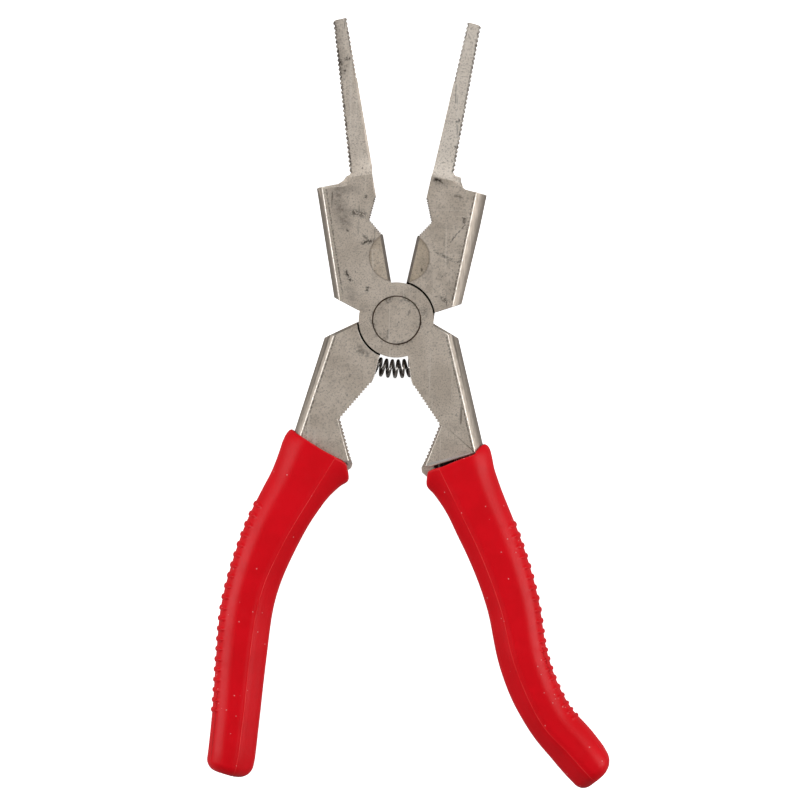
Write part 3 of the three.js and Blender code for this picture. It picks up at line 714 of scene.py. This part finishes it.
LEFT_SLEEVE = {
    "handle": [
        (12, -38.4), (15.4, -49.4), (19.7, -64.9), (21.6, -81),
        (20.5, -97), (18.5, -113), (17.1, -124), (16.5, -130.2),
    ],
    "widths": [
        (0, 9.95, 8, 4.6), (1.5, 10.15, 9.3, 4.6), (3.4, 10, 10.7, 4.55), (6.5, 9.35, 9.6, 4.5),
        (11, 8.6, 8.35, 4.3), (16, 8.35, 7.75, 4.15), (27, 7.9, 7.4, 3.7), (40, 7.35, 6.85, 2.8),
        (52, 7.25, 6.8, 2.45), (62, 6.8, 6.85, 2.4), (74, 6.4, 6.7, 2.35), (95, 6.45, 6.4, 1.8),
    ],
    "rim": [
        (-10.6, 3.0), (-10.1, 2.4), (-9.2, 1.0), (-8.3, 0.1), (-7, 0), (0, 0.15), (8.3, -0.2),
        (9.2, -0.45), (9.7, -0.5), (9.95, -0.25), (10.1, 0.3),
    ],
    "ribs": (21.65, 2.72),
    "end_rounds": (2.8, 5.0),
    "slant": 0.16,
}


def smooth_step(value, low, high):
    share = np.clip((value - low) / (high - low), 0, 1)
    return share * share * (3 - 2 * share)


def smooth_line(rows, at):
    """Heights at given places of one smooth line through (place, height) rows."""
    x, y = np.array(rows, float).T
    slopes = np.gradient(y, x)
    i = np.clip(np.searchsorted(x, at) - 1, 0, len(x) - 2)
    length = x[i + 1] - x[i]
    t = np.clip((at - x[i]) / length, 0, 1)
    risen = t * t * (3 - 2 * t)
    bend = t * (1 - t) * ((1 - t) * slopes[i] - t * slopes[i + 1])
    return y[i] + (y[i + 1] - y[i]) * risen + length * bend


class Handle:
    """A handle's centre line, as an even Catmull-Rom curve measured by length."""

    def __init__(self, points):
        p = np.array(points, float)
        p = np.vstack([2 * p[0] - p[1], p, 2 * p[-1] - p[-2]])
        steps = np.linspace(0, 1, 60, endpoint=False)[:, None]
        parts = []
        for a, b, c, d in zip(p, p[1:], p[2:], p[3:]):
            parts.append(
                b
                + 0.5 * (c - a) * steps
                + (a - 2.5 * b + 2 * c - 0.5 * d) * steps**2
                + (-0.5 * a + 1.5 * b - 1.5 * c + 0.5 * d) * steps**3
            )
        self.line = np.vstack(parts + [p[-2:-1]])
        gaps = np.linalg.norm(np.diff(self.line, axis=0), axis=1)
        self.along = np.concatenate([[0], np.cumsum(gaps)])
        self.length = self.along[-1]

    def point(self, s):
        return np.column_stack([np.interp(s, self.along, self.line[:, i]) for i in (0, 1)])

    def place(self, s):
        """Centres, directions and outward directions at distances from the mouth."""
        step = 0.4
        inside = np.clip(s, 0, self.length)
        way = self.point(np.minimum(inside + step, self.length))
        way = way - self.point(np.maximum(inside - step, 0))
        way /= np.linalg.norm(way, axis=1)[:, None]
        outwards = np.column_stack([-way[:, 1], way[:, 0]])
        return self.point(inside) + way * (s - inside)[:, None], way, outwards


def rounded(before, corner, after, cut, steps):
    """Points round a corner cut back by a distance on both sides."""
    before, corner, after = (np.array(p, float) for p in (before, corner, after))
    start = corner + (before - corner) * cut / np.linalg.norm(before - corner)
    end = corner + (after - corner) * cut / np.linalg.norm(after - corner)
    t = np.linspace(0, 1, steps)[:, None]
    return (1 - t) ** 2 * start + 2 * t * (1 - t) * corner + t**2 * end


class Sleeve:
    """Rings of points over a handle, with a rolled rim, ribs, a seam and a rounded end."""

    wide, narrow = 42, 22  # columns from the outer side to the seam, and on to the inner side
    near = np.array([-0.3, -0.1, 0.0, 0.1, 0.3])  # columns bunched on the seam

    def __init__(self, shape):
        self.shape = shape
        self.handle = Handle(shape["handle"])
        self.rows = [[(row[0], row[k]) for row in shape["widths"]] for k in (1, 2, 3)]

    def half_thickness(self, s):
        left = max(1 - s / self.handle.length, 0) ** THINNING
        return END_HALF_THICKNESS + (MOUTH_HALF_THICKNESS - END_HALF_THICKNESS) * left

    def section(self, s):
        """One section as (outwards, up) points once round."""
        outer, inner, seam = (float(smooth_line(row, np.array([s]))[0]) for row in self.rows)
        top = self.half_thickness(s)
        gentle, steep = INNER_SLOPE
        slope = gentle + (steep - gentle) * smooth_step(s, 0, INNER_SLOPE_LENGTH)
        corners = [
            (outer, 0),
            (outer, top - OUTER_DROP),
            (RIDGE * outer, top),
            (-seam, top),
            (-inner, top - (inner - seam) * slope),
            (-inner, 0),
        ]
        arcs = [
            rounded(*three, cut, 24)
            for *three, cut in zip(corners, corners[1:], corners[2:], ROUNDS)
        ]
        line = np.vstack([corners[:1], *arcs, corners[-1:]])
        along = np.concatenate([[0], np.cumsum(np.linalg.norm(np.diff(line, axis=0), axis=1))])
        middle = float(np.interp(seam, -line[:, 0], along))
        stops = np.concatenate([
            np.linspace(0, middle + self.near[0], self.wide, endpoint=False),
            middle + self.near,
            np.linspace(middle + self.near[-1], along[-1], self.narrow + 1)[1:],
        ])
        front = np.column_stack([np.interp(stops, along, line[:, k]) for k in (0, 1)])
        return np.vstack([front, (front * (1, -1))[-2:0:-1]])

    def seam_columns(self, count):
        return self.wide + 2, count - self.wide - 2

    def ribs(self, s, up):
        """How far the ribs of the outer side stand out."""
        first, pitch = self.shape["ribs"]
        number = np.clip(np.round((s - first) / pitch), 0, RIB_COUNT - 1)
        offset = np.abs(s - first - number * pitch) / RIB_HALF_WIDTH
        arch = np.sqrt(np.clip(1 - offset**2, 0, 1))
        reach = RIB_REACH * np.sqrt(np.clip(1 - 0.35 * offset**2, 0, 1))
        return RIB_HEIGHT * arch * (1 - smooth_step(np.abs(up), reach - 0.12, reach))

    def ring(self, s, inset=0.0, end=0.0):
        """One ring: its distance from the mouth, how far its skin is drawn in, and how far
        round the end it is, as an angle."""
        start = max(s, 0)
        length = self.handle.length
        top = self.half_thickness(start)
        flat = self.section(start)
        dip = np.interp(flat[:, 0], *zip(*self.shape["rim"]))
        at = s + dip * (1 - smooth_step(start, 0, RIM_DEPTH))
        if start < RIM_DEPTH:
            flat = self.swept(np.maximum(at, 0))
        outer, inner = flat[:, 0].max(), -flat[:, 0].min()
        outside = flat[:, 0] > 0
        half_width = np.where(outside, outer, inner)
        x, z = flat[:, 0], flat[:, 1]
        across, up = x / half_width, z / top

        # Rounding of the end: the skin is drawn in towards the centre as it goes down.
        turn_x = np.where(outside, *self.shape["end_rounds"])
        turn = END_ROUND + (turn_x - END_ROUND) * across**2
        drawn = 1 - math.cos(end)
        at = at - (turn * (1 - math.sin(end)) if end else 0)
        x = x * (1 - (inset + turn_x * drawn) / half_width)
        z = z * (1 - (inset + END_ROUND * drawn) / top)

        way_x, way_z = (np.roll(flat, -1, axis=0) - np.roll(flat, 1, axis=0)).T
        size = np.hypot(way_x, way_z)
        height = self.ribs(at, up) * outside
        x = x + height * way_z / size
        z = z - height * way_x / size
        ridge = np.zeros(len(x))
        for centre in self.seam_columns(len(x)):
            ridge[centre - 1 : centre + 2] = (0.5, 1.0, 0.5)
        z = z + SEAM_HEIGHT * np.sign(z) * ridge * float(smooth_step(length - s, 0.5, 3))
        slanted = float(smooth_step(s, length - SLANT_START, length - 2))
        shear = -self.shape["slant"] * x * slanted
        centre, way, outwards = self.handle.place(at)
        place = centre + x[:, None] * outwards + shear[:, None] * way
        return np.column_stack([place, MIDDLE + z])

    def swept(self, at):
        """A section whose every column has its own distance from the mouth."""
        low, high = float(at.min()), float(at.max())
        stops = np.linspace(low, high, 8) if high > low else np.array([low])
        sections = np.array([self.section(stop) for stop in stops])
        if len(stops) == 1:
            return sections[0]
        columns = range(sections.shape[1])
        return np.array([
            [np.interp(at[c], stops, sections[:, c, k]) for k in (0, 1)] for c in columns
        ])

    def rings(self):
        """All rings: up inside the mouth, over the rolled rim, and down to the rounded end."""
        length = self.handle.length
        # The rolled rim, as distances from the mouth and how far in the skin is there.
        rim = [(4.5, WALL), (1.5, WALL), (0.5, 1.2), (0.2, 1.1), (0.05, 0.95), (0.0, 0.75)]
        rim += [(0.0, 0.5), (0.03, 0.3), (0.1, 0.14), (0.22, 0.04), (0.4, 0.0)]
        made = [self.ring(s, inset) for s, inset in rim]

        # Stretches down the sleeve with their steps, finest along the ribs.
        first, pitch = self.shape["ribs"]
        ribs_start = first - 1.2
        ribs_stop = first + (RIB_COUNT - 1) * pitch + 1.2
        stop = length - max(self.shape["end_rounds"]) - 0.4
        stretches = [
            (0.75, 6, 0.35),
            (6, ribs_start, 0.8),
            (ribs_start, ribs_stop, 0.18),
            (ribs_stop, stop, 0.7),
        ]
        for start, stop, step in stretches:
            count = round((stop - start) / step)
            made += [self.ring(s) for s in np.linspace(start, stop, count, endpoint=False)]
        for angle in np.linspace(0, 0.5 * np.pi, 13)[1:]:
            made.append(self.ring(length, end=angle))
        return made


def sleeve(name, node, shape, body, mirrored, materials):
    skin = Sleeve(shape)
    rings = skin.rings()
    sides = len(rings[0])
    points = np.vstack(rings)
    if mirrored:
        points[:, 2] = 2 * MIDDLE - points[:, 2]
    points[:, 0], points[:, 1] = turned((points[:, 0], points[:, 1]), mirrored)
    made = mesh_object(name, points * MM, tube_faces(len(rings), sides), materials)
    # The seam's columns take the lighter red, a painted highlight.
    for centre in skin.seam_columns(sides):
        for column in (centre - 1, centre):
            for r in range(len(rings) - 1):
                made.data.polygons[r * sides + column].material_index = 1
    bm = bmesh.new()
    bm.from_mesh(made.data)
    bmesh.ops.recalc_face_normals(bm, faces=bm.faces)
    bm.to_mesh(made.data)
    bm.free()
    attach(made, body)
    stand_for(node)


# ------------------------------------------------------------------ spring

SPRING_Y = -13.2  # the middle of its axis
SPRING_BEND_RADIUS = 20
SPRING_RADIUS = 2.2  # of the coils' middle line
SPRING_WIRE_RADIUS = 0.42
SPRING_HALF_LENGTH = 8.2
SPRING_PITCH = 1.76
SPRING_START_TURN = 0.22  # so that a coil's top lies 0.8 left of the middle
WIRE_SIDES = 12
STEPS_PER_TURN = 36


def bent(along, towards_pivot=0, up=0):
    """A point near the spring, from its distance along the bent axis and its offsets."""
    angle = along / SPRING_BEND_RADIUS
    reach = SPRING_BEND_RADIUS - towards_pivot
    y = SPRING_Y + SPRING_BEND_RADIUS - reach * math.cos(angle)
    return Vector((reach * math.sin(angle), y, MIDDLE + up))


def spring(material):
    """The coil between the shanks, its ends in their pockets."""
    turns = 2 * SPRING_HALF_LENGTH / SPRING_PITCH
    steps = round(turns * STEPS_PER_TURN)

    def along(i):
        return SPRING_HALF_LENGTH * (2 * i / steps - 1)

    def centre(i):
        angle = 2 * math.pi * (SPRING_START_TURN - turns * i / steps)
        return bent(along(i), SPRING_RADIUS * math.cos(angle), SPRING_RADIUS * math.sin(angle))

    points = []
    for i in range(steps + 1):
        middle = centre(i)
        tangent = (centre(i + 0.5) - centre(i - 0.5)).normalized()
        side = tangent.cross(middle - bent(along(i))).normalized()
        radial = side.cross(tangent)
        for k in range(WIRE_SIDES):
            t = 2 * math.pi * k / WIRE_SIDES
            off = radial * math.cos(t) + side * math.sin(t)
            points.append((middle + SPRING_WIRE_RADIUS * off) * MM)
    made = mesh_object("coil_spring", points, tube_faces(steps + 1, WIRE_SIDES), [material])
    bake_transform(made)
    stand_for("return_spring")


# ------------------------------------------------------------------ the pieces

# The half-moon hollows: centre at rest, strength of the painted shade along its wall and of its
# tint, which is partly the hollow's own warm colour and partly painted shade.
FRONT_HOLLOW = ((-1.11, 17.07), 0.4, 0.3)
REAR_HOLLOW = ((1.89, 16.91), 0.35, 0.5)


def lever_lines(mirrored, *lines):
    """Lines given in a lever's closed frame, with a half width and a strength."""
    return [(turned(a, mirrored), turned(b, mirrored), *rest) for a, b, *rest in lines]


# Dirt in the roots of the teeth, and painted shade along the cutting edge and beside the dressed
# flanks.
FRONT_CUTTING_EDGE_SHADE = lever_lines(False, ((-0.1, 23.2), (-0.1, 10.7), 0.5, 0.95))
FRONT_DIRT_AND_SHADE = lever_lines(
    False,
    ((-12.7, 38.0), (-13.1, 9.5), 0.3, 0.6),
    ((14.45, -38.8), (12.6, -7.0), 0.3, 0.7),
    ((-2.8, 81.9), (-5.2, 41.5), 0.42, 0.85),
    ((0.2, 82.4), (0.2, 66.4), 0.36, 0.6),
    ((-0.2, 23.6), (-2.5, 27.9), 0.4, 0.5),
    ((-2.5, 27.9), (0.0, 33.7), 0.4, 0.5),
)
REAR_CUTTING_EDGE_SHADE = lever_lines(True, ((-0.8, 23.2), (-0.8, 10.7), 0.5, 0.95))
REAR_DIRT_AND_SHADE = lever_lines(
    True,
    ((-13.0, 38.0), (-13.55, 8.6), 0.26, 0.7),
    ((17.8, -36.7), (15.0, -8), 0.26, 0.7),
    ((-4.15, 82.0), (-5.9, 42.5), 0.42, 0.75),
    ((-1.0, 82.4), (-1.0, 66.4), 0.34, 0.5),
    ((-0.8, 23.6), (-3.2, 27.9), 0.4, 0.4),
    ((-3.2, 27.9), (-0.8, 33.7), 0.4, 0.4),
)
# Painted highlights where the flanks begin.
FRONT_FLANK_HIGHLIGHTS = lever_lines(
    False,
    ((-13.7, 38.7), (-14.15, 8.8), 0.4, 0.3),
    ((15.0, -38.8), (13.05, -5.8), 0.3, 0.1),
)
REAR_FLANK_HIGHLIGHTS = lever_lines(
    True,
    ((-13.4, 38.4), (-14.0, 8.3), 0.28, 0.1),
    ((18.2, -36.7), (15.45, -7.5), 0.36, 0.2),
)
# At rest, painted highlights along the ends of the shanks, and painted shadows in the gaps at the
# sleeves' mouths.
FRONT_END_HIGHLIGHTS = [((8.9, -38.96), (20.9, -35.66), 0.34, 1.0)]
REAR_END_HIGHLIGHTS = [
    ((-14.75, -38.43), (-11.09, -38.73), 0.3, 1.0),
    ((-11.5, -38.9), (-11.4, -41.2), 0.35, 0.6),
]
# Painted shadows between the shank ends and the sleeves' rims.
FRONT_GAP_SHADOWS = [
    ((11.6, -39.3), (20.5, -36.5), 0.5, 0.97),
    ((11.9, -39.7), (15.5, -38.6), 0.5, 0.97),
]
REAR_GAP_SHADOWS = [((-15.9, -38.5), (-12.2, -39.4), 0.42, 0.97)]


def steel(name, seed, flank_highlights=(), end_highlights=(), cutting_edge_shade=(), dirt_and_shade=(), **looks):
    """The three materials of a steel piece, in the order of FACE, SIDE and EDGE."""
    painted_highlights, dirt_and_shade_lines = [*flank_highlights, *end_highlights], [*cutting_edge_shade, *dirt_and_shade]
    return [
        steel_face(f"{name}_steel", seed, dirt_and_shade_lines=dirt_and_shade_lines, painted_highlights=painted_highlights, **looks),
        steel_side(f"{name}_side_steel", seed, flank_highlights),
        steel_edge(f"{name}_edge_steel", seed, cutting_edge_shade),
    ]


front_steel = steel(
    "front", 1.0, FRONT_FLANK_HIGHLIGHTS, FRONT_END_HIGHLIGHTS, FRONT_CUTTING_EDGE_SHADE, FRONT_DIRT_AND_SHADE,
    marks=FRONT_MARKS, stains=FRONT_STAINS, gaps=FRONT_GAP_SHADOWS, hollow=FRONT_HOLLOW,
    nose=0.35, side=-1,
)
rear_steel = steel(
    "rear", 2.7, REAR_FLANK_HIGHLIGHTS, REAR_END_HIGHLIGHTS, REAR_CUTTING_EDGE_SHADE, REAR_DIRT_AND_SHADE,
    marks=REAR_MARKS, stains=REAR_STAINS, gaps=REAR_GAP_SHADOWS, hollow=REAR_HOLLOW,
    nose=0.85, side=1,
)
rivet_steel = steel("rivet", 4.3, marks=RIVET_MARKS)
broken_edges("front_lever", "front_lever_steel", front_steel, 0.14, "front_half")
broken_edges("rear_lever", "rear_lever_steel", rear_steel, 0.14, "rear_half")
broken_edges("pivot_rivet", "rivet_steel", rivet_steel, 0.06, "rear_half")
spring(spring_wire())

# The seam's lighter red is a painted highlight.
seam_highlight_red = red_plastic("red_seam_highlight", 3.0, SEAM_HIGHLIGHT_RED)
right_reds = [red_plastic("red_right", 1.0), seam_highlight_red]
left_reds = [red_plastic("red_left", 2.0), seam_highlight_red]
sleeve("right_sleeve", "right_grip", RIGHT_SLEEVE, "front_half", False, right_reds)
sleeve("left_sleeve", "left_grip", LEFT_SLEEVE, "rear_half", True, left_reds)

# ------------------------------------------------------------------ floor, light and camera

FLOOR_HALF_WIDTH = 3000
FLOOR_HEIGHT = -1.7  # just under the sleeves


def pale_floor():
    """A floor that neither tints the tool nor shows in its steel."""
    reach = FLOOR_HALF_WIDTH * MM
    corners = [(-1, -1), (1, -1), (1, 1), (-1, 1)]
    points = [(x * reach, y * reach, FLOOR_HEIGHT * MM) for x, y in corners]
    floor = mesh_object("floor", points, [(0, 1, 2, 3)], [paper()])
    floor.visible_glossy = False
    floor.visible_diffuse = False


def softbox(name, place, size, power):
    """A large rectangular light, in metres and watts, that looks at the tool."""
    light = bpy.data.lights.new(name, "AREA")
    light.shape = "RECTANGLE"
    light.size, light.size_y = size
    light.energy = power
    made = linked(name, light)
    made.location = place
    made.rotation_euler = (-Vector(place)).to_track_quat("-Z", "Y").to_euler()
    made.visible_camera = False


# The sky's colours, by their place from straight below (0) to straight overhead (1).
SKY = [
    (0, (0.24, 0.24, 0.24)),
    (0.42, (0.28, 0.2772, 0.2716)),
    (0.55, (0.3, 0.297, 0.291)),
    (0.72, (0.14, 0.1386, 0.1358)),
    (1, (0.11, 0.109, 0.107)),
]


def studio():
    """Soft light from all round, dimmer overhead and below than at the horizon."""
    world = bpy.data.worlds.new("studio")
    bpy.context.scene.world = world
    world.use_nodes = True
    tree = world.node_tree
    split = tree.nodes.new("ShaderNodeSeparateXYZ")
    tree.links.new(tree.nodes.new("ShaderNodeTexCoord").outputs["Generated"], split.inputs[0])
    ramp = tree.nodes.new("ShaderNodeValToRGB")
    stops = ramp.color_ramp.elements
    stops[0].color = (*SKY[0][1], 1)
    stops[1].color = (*SKY[-1][1], 1)
    for place, colour in SKY[1:-1]:
        stops.new(place).color = (*colour, 1)
    half = tree.nodes.new("ShaderNodeMapRange")
    half.inputs["From Min"].default_value = -1
    tree.links.new(split.outputs["Z"], half.inputs["Value"])
    tree.links.new(half.outputs["Result"], ramp.inputs["Fac"])
    tree.links.new(ramp.outputs["Color"], tree.nodes["Background"].inputs["Color"])


CAMERA_PLACE = (1.649, -21.612, 1810)  # straight above the tool, and far off for a flat view
CAMERA_LENS = 300
LEAN = 1.65  # degrees the tool leans in the view


def front_camera():
    """The camera, which looks straight down at the tool's front."""
    camera = linked("camera", bpy.data.cameras.new("camera"))
    camera.data.sensor_width = 36
    camera.data.lens = CAMERA_LENS
    camera.data.clip_end = 20
    camera.location = [value * MM for value in CAMERA_PLACE]
    camera.rotation_euler = (0, 0, math.radians(LEAN))
    bpy.context.scene.camera = camera


pale_floor()
softbox("left_softbox", (-0.83, 0.05, 0.48), (0.4, 1.1), 5.7)
softbox("right_softbox", (0.83, 0.05, 0.48), (0.4, 1.1), 6.0)
softbox("top_softbox", (0.0, 0.85, 0.62), (0.9, 0.5), 2.6)
studio()
front_camera()
bpy.context.scene.view_settings.view_transform = "Standard"
